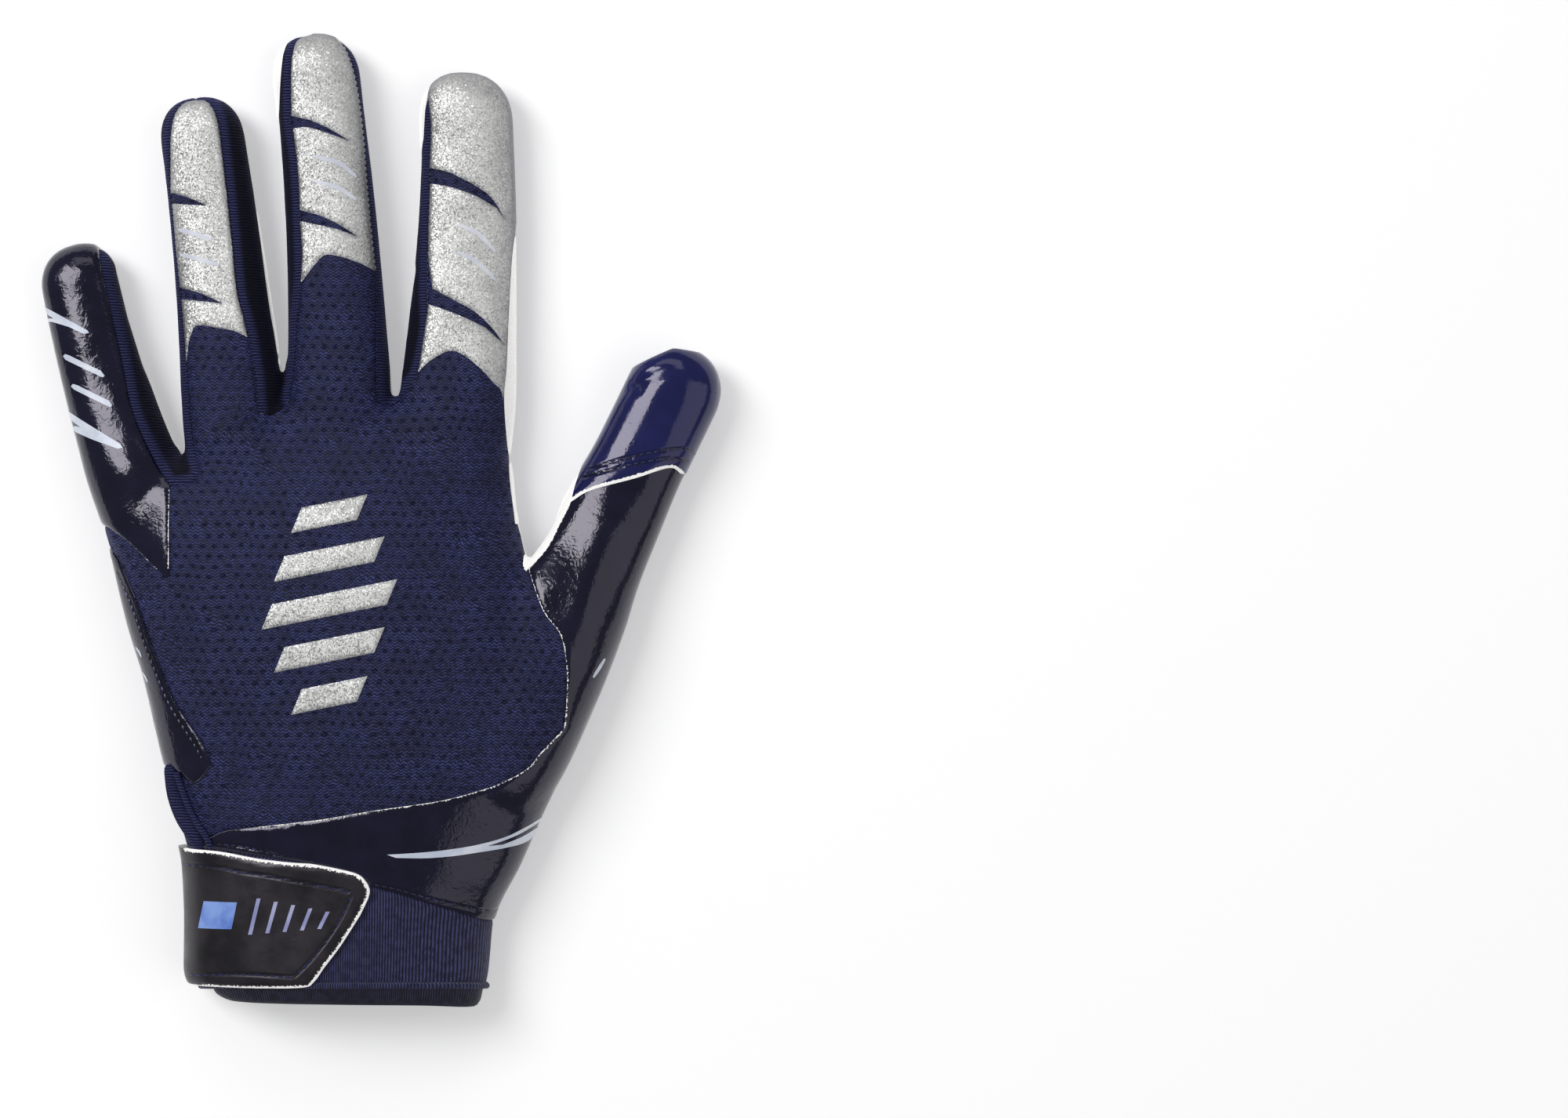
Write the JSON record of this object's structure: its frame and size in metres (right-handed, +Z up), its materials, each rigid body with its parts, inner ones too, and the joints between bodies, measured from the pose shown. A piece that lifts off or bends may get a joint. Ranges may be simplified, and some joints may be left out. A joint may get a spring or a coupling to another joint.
{
  "type": "football receiver glove",
  "caption": "Left-hand football receiver glove, knit back with silver film finger backs, grip palm, wrist strap, lying palm down.",
  "frame": {"origin": "on the floor, below the middle of the glove's box", "axes": "+X to the thumb side, +Y from the wrist to the fingertips, +Z up from the palm to the back of the hand"},
  "size_m": [0.1634, 0.2358, 0.027],
  "materials": {
    "knit": "matt chevron mesh knit, navy",
    "ribbed_knit": "matt ribbed knit, dark navy",
    "elastic_knit": "matt elastic rib, dark navy",
    "glitter_film": "silver glitter film bonded to knit",
    "coated_gloss": "glossy coated synthetic leather, dark navy, white cut edge",
    "grip": "tacky silicone-coated synthetic leather, navy, white cut edge",
    "binding": "folded tape binding, dark navy",
    "strap_coating": "glossy coated strap, near black, white cut edge"
  },
  "bodies": {
    "root": {"palm_panel": "grip", "back_panel": "knit", "index_film": "glitter_film", "middle_film": "glitter_film", "ring_film": "glitter_film", "little_finger_wrap": "coated_gloss", "heel_wrap": "coated_gloss", "thumb_wrap": "coated_gloss", "thumb_cap": "grip", "fourchette_index_middle": "ribbed_knit", "fourchette_middle_ring": "ribbed_knit", "fourchette_ring_little": "ribbed_knit", "cuff": "elastic_knit", "cuff_hem": "binding", "strap": "strap_coating", "vent_binding": "binding"}
  },
  "joints": []
}
